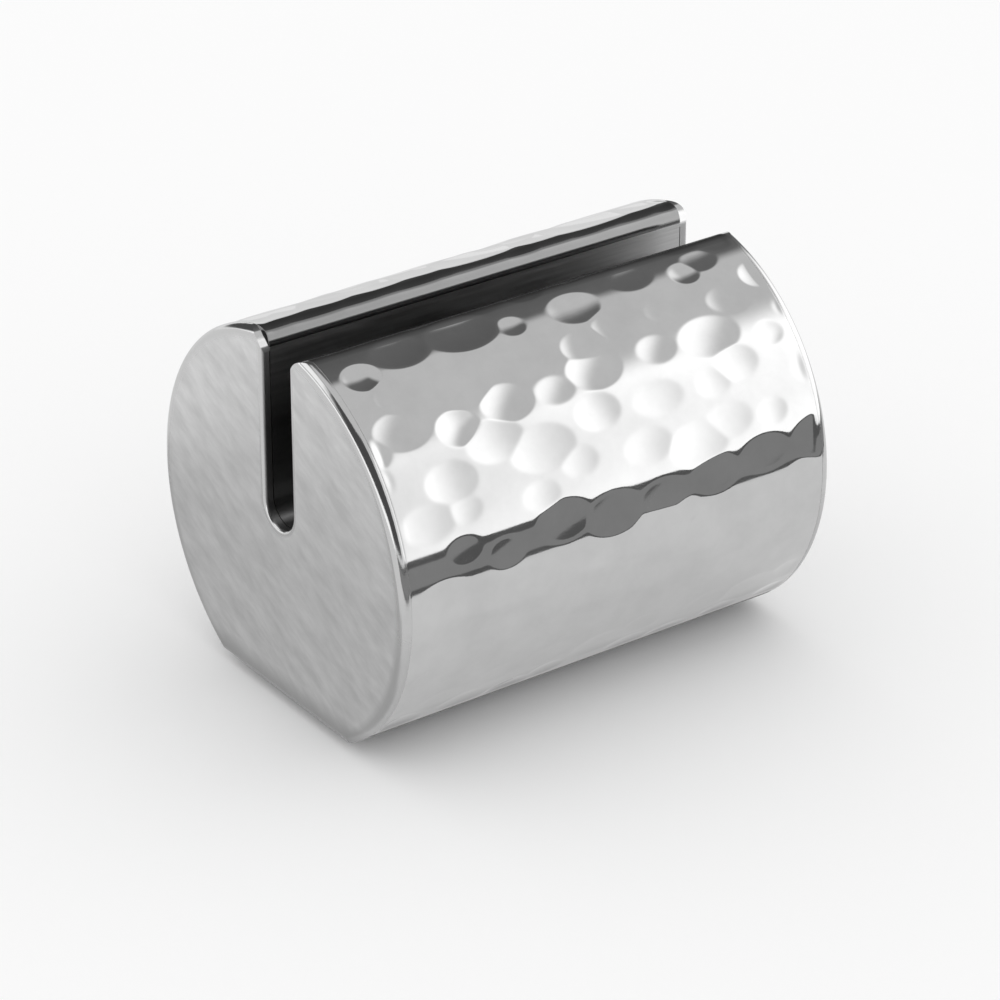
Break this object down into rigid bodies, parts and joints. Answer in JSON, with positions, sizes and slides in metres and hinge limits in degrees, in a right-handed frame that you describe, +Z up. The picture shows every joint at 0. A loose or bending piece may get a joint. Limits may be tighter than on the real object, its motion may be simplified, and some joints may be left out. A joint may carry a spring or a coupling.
{
  "type": "place card holder",
  "caption": "Short hammered metal barrel lying on a flat underside, with satin ends and a lengthwise round-bottomed slot in its crest that holds a place card upright.",
  "frame": {"origin": "on the table, at the middle of the pad's underside", "axes": "+X along the barrel and its slot, -Y the side towards the viewer in front, +Z up"},
  "size_m": [0.0316, 0.026, 0.0243],
  "materials": {
    "hammered_steel": "hammered and mirror polished",
    "satin_steel": "fine satin, brushed on a slant",
    "channel_steel": "semi-polished sheet",
    "base_steel": "polished edge, plain underside",
    "ballast_iron": "plain bar, sealed inside",
    "pad_rubber": "matte"
  },
  "bodies": {
    "root": {"front_shell": "hammered_steel", "rear_shell": "hammered_steel", "left_end_plate": "satin_steel", "right_end_plate": "satin_steel", "card_channel": "channel_steel", "base_plate": "base_steel", "ballast_bar": "ballast_iron", "base_pad": "pad_rubber"}
  },
  "joints": []
}
